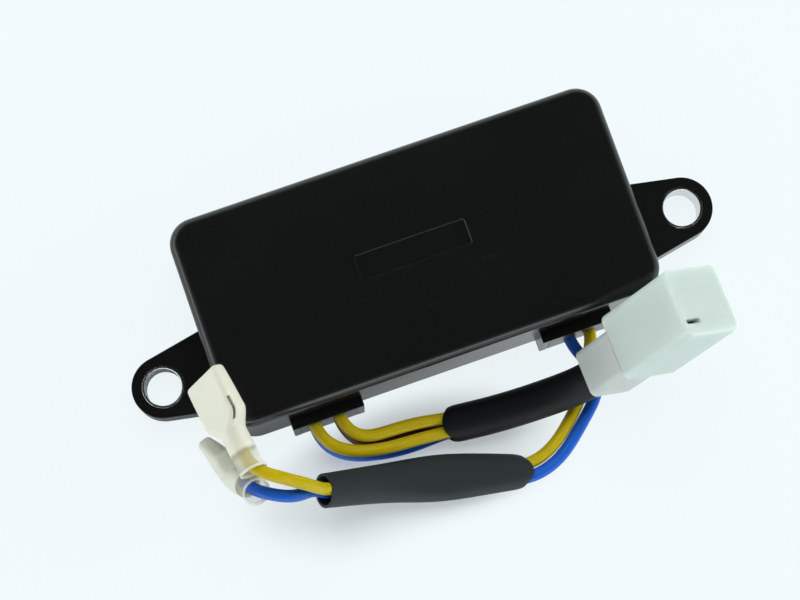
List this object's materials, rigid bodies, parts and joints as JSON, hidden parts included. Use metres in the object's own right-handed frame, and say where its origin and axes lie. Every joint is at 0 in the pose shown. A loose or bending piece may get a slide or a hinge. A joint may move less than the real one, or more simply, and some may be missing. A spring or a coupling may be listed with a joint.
{
  "type": "automatic voltage regulator",
  "caption": "Flat potted voltage regulator for a small generator: black moulded case with mounting ears, a sleeved harness with a square connector, and spade leads in soft boots.",
  "frame": {"origin": "midway between the two mounting holes, on the mounting plane under the ears", "axes": "+X towards the right ear, +Y away from the wire outlets, +Z out of the front face"},
  "size_m": [0.1192, 0.0686, 0.0379],
  "materials": {
    "black_moulding": "fine satin moulding",
    "steel": "zinc plated",
    "resin": "cast resin",
    "board": "laminate",
    "capacitor_can": "shrunk film",
    "film_coat": "dipped coat",
    "ceramic": "ceramic block",
    "resistor_coat": "lacquer",
    "yellow_wire": "soft vinyl insulation",
    "blue_wire": "soft vinyl insulation",
    "brown_wire": "soft vinyl insulation",
    "black_sleeve": "heat-shrunk tube",
    "grey_sleeve": "loose sleeving",
    "natural_nylon": "undyed, slightly translucent",
    "soft_vinyl": "undyed, translucent",
    "brass": "plain"
  },
  "bodies": {
    "root": {"case": "black_moulding", "left_eyelet": "steel", "right_eyelet": "steel", "potting": "resin", "circuit_board": "board", "power_transistor": "black_moulding", "rectifier_diodes": "black_moulding", "flywheel_diode": "black_moulding", "filter_capacitor": "capacitor_can", "film_capacitor": "film_coat", "load_resistor": "ceramic", "sense_resistors": "resistor_coat", "control_transistors": "black_moulding", "upper_yellow_wire": "yellow_wire", "lower_yellow_wire": "yellow_wire", "connector_blue_wire": "blue_wire", "connector_brown_wire": "brown_wire", "brush_yellow_wire": "yellow_wire", "brush_blue_wire": "blue_wire", "connector_sleeve": "black_sleeve", "brush_sleeve": "grey_sleeve", "connector_housing": "natural_nylon", "connector_contact_1": "brass", "connector_contact_2": "brass", "connector_contact_3": "brass", "connector_contact_4": "brass", "yellow_spade": "brass", "blue_spade": "brass", "yellow_boot": "soft_vinyl", "blue_boot": "soft_vinyl"}
  },
  "joints": []
}
